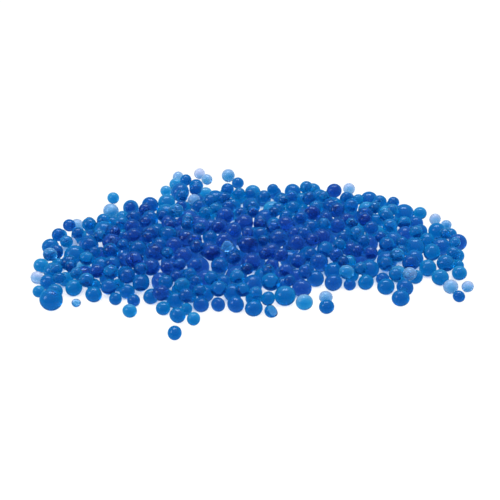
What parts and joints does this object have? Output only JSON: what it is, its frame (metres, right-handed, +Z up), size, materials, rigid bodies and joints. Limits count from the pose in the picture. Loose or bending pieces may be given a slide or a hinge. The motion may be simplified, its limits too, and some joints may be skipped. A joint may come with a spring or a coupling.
{
  "type": "silica gel bead heap",
  "caption": "Loose shallow heap of blue indicating silica gel beads, the drying agent for a desiccator's base, with stray and broken beads at its edge.",
  "frame": {"origin": "middle of the heap's footprint, on the bench", "axes": "+X along the heap's long side, to the right; +Y towards its back; +Z up"},
  "size_m": [0.1032, 0.0736, 0.0085],
  "materials": {
    "deep_blue_gel": "polished",
    "blue_gel": "polished",
    "azure_gel": "polished",
    "pale_gel": "polished"
  },
  "bodies": {
    "heap": {"large_bead_front_left": "azure_gel", "large_bead_left": "azure_gel", "large_bead_back": "azure_gel", "large_bead_front_right": "azure_gel", "edge_bead_left_1": "azure_gel", "edge_bead_left_2": "azure_gel", "edge_bead_back_left": "azure_gel", "edge_bead_right_1": "azure_gel", "edge_bead_right_2": "azure_gel", "edge_bead_front_right": "azure_gel", "edge_bead_front_1": "azure_gel", "edge_bead_front_2": "azure_gel", "edge_bead_front_3": "azure_gel", "edge_bead_front_4": "azure_gel", "edge_bead_front_5": "azure_gel", "edge_bead_front_6": "azure_gel", "edge_bead_front_7": "azure_gel", "split_bead_front": "pale_gel", "chipped_bead_left": "pale_gel", "shard_left": "pale_gel", "chip_front_left": "pale_gel", "cracked_bead_back_left": "pale_gel", "cracked_bead_right_1": "pale_gel", "cracked_bead_right_2": "pale_gel", "shard_top": "pale_gel", "beads_centre_left_1": "azure_gel", "beads_centre_left_2": "blue_gel", "beads_front_left_1": "blue_gel", "beads_centre_left_3": "deep_blue_gel", "beads_back_left_1": "blue_gel", "beads_centre_left_4": "deep_blue_gel", "beads_front_left_2": "deep_blue_gel", "beads_front_middle_1": "blue_gel", "beads_back_middle_1": "azure_gel", "beads_back_middle_2": "deep_blue_gel", "beads_centre_middle_1": "deep_blue_gel", "beads_front_middle_2": "blue_gel", "beads_centre_middle_2": "deep_blue_gel", "beads_back_middle_3": "blue_gel", "beads_front_middle_3": "deep_blue_gel", "beads_centre_middle_3": "deep_blue_gel", "beads_back_middle_4": "blue_gel", "beads_back_right_1": "deep_blue_gel", "beads_front_right_1": "blue_gel", "beads_back_right_2": "blue_gel", "beads_centre_right_1": "deep_blue_gel", "beads_back_right_3": "blue_gel", "beads_centre_right_2": "azure_gel", "beads_centre_right_3": "azure_gel"},
    "stray_bead_back_1": {"stray_bead_back_1": "pale_gel"},
    "stray_bead_back_2": {"stray_bead_back_2": "pale_gel"},
    "stray_bead_back_3": {"stray_bead_back_3": "pale_gel"},
    "stray_bead_back_4": {"stray_bead_back_4": "pale_gel"},
    "stray_bead_back_5": {"stray_bead_back_5": "pale_gel"},
    "stray_bead_back_left": {"stray_bead_back_left": "pale_gel"},
    "stray_bead_back_right": {"stray_bead_back_right": "pale_gel"},
    "stray_bead_right_1": {"stray_bead_right_1": "pale_gel"},
    "stray_bead_right_2": {"stray_bead_right_2": "pale_gel"},
    "stray_bead_front_right": {"stray_bead_front_right": "pale_gel"},
    "stray_bead_front": {"stray_bead_front": "pale_gel"}
  },
  "joints": [
    {"name": "lift_stray_bead_back_1", "type": "slide", "parent": "heap", "child": "stray_bead_back_1", "axis": [0, 0, 1], "range_m": [0, 0.03]},
    {"name": "lift_stray_bead_back_2", "type": "slide", "parent": "heap", "child": "stray_bead_back_2", "axis": [0, 0, 1], "range_m": [0, 0.03]},
    {"name": "lift_stray_bead_back_3", "type": "slide", "parent": "heap", "child": "stray_bead_back_3", "axis": [0, 0, 1], "range_m": [0, 0.03]},
    {"name": "lift_stray_bead_back_4", "type": "slide", "parent": "heap", "child": "stray_bead_back_4", "axis": [0, 0, 1], "range_m": [0, 0.03]},
    {"name": "lift_stray_bead_back_5", "type": "slide", "parent": "heap", "child": "stray_bead_back_5", "axis": [0, 0, 1], "range_m": [0, 0.03]},
    {"name": "lift_stray_bead_back_left", "type": "slide", "parent": "heap", "child": "stray_bead_back_left", "axis": [0, 0, 1], "range_m": [0, 0.03]},
    {"name": "lift_stray_bead_back_right", "type": "slide", "parent": "heap", "child": "stray_bead_back_right", "axis": [0, 0, 1], "range_m": [0, 0.03]},
    {"name": "lift_stray_bead_right_1", "type": "slide", "parent": "heap", "child": "stray_bead_right_1", "axis": [0, 0, 1], "range_m": [0, 0.03]},
    {"name": "lift_stray_bead_right_2", "type": "slide", "parent": "heap", "child": "stray_bead_right_2", "axis": [0, 0, 1], "range_m": [0, 0.03]},
    {"name": "lift_stray_bead_front_right", "type": "slide", "parent": "heap", "child": "stray_bead_front_right", "axis": [0, 0, 1], "range_m": [0, 0.03]},
    {"name": "lift_stray_bead_front", "type": "slide", "parent": "heap", "child": "stray_bead_front", "axis": [0, 0, 1], "range_m": [0, 0.03]}
  ]
}
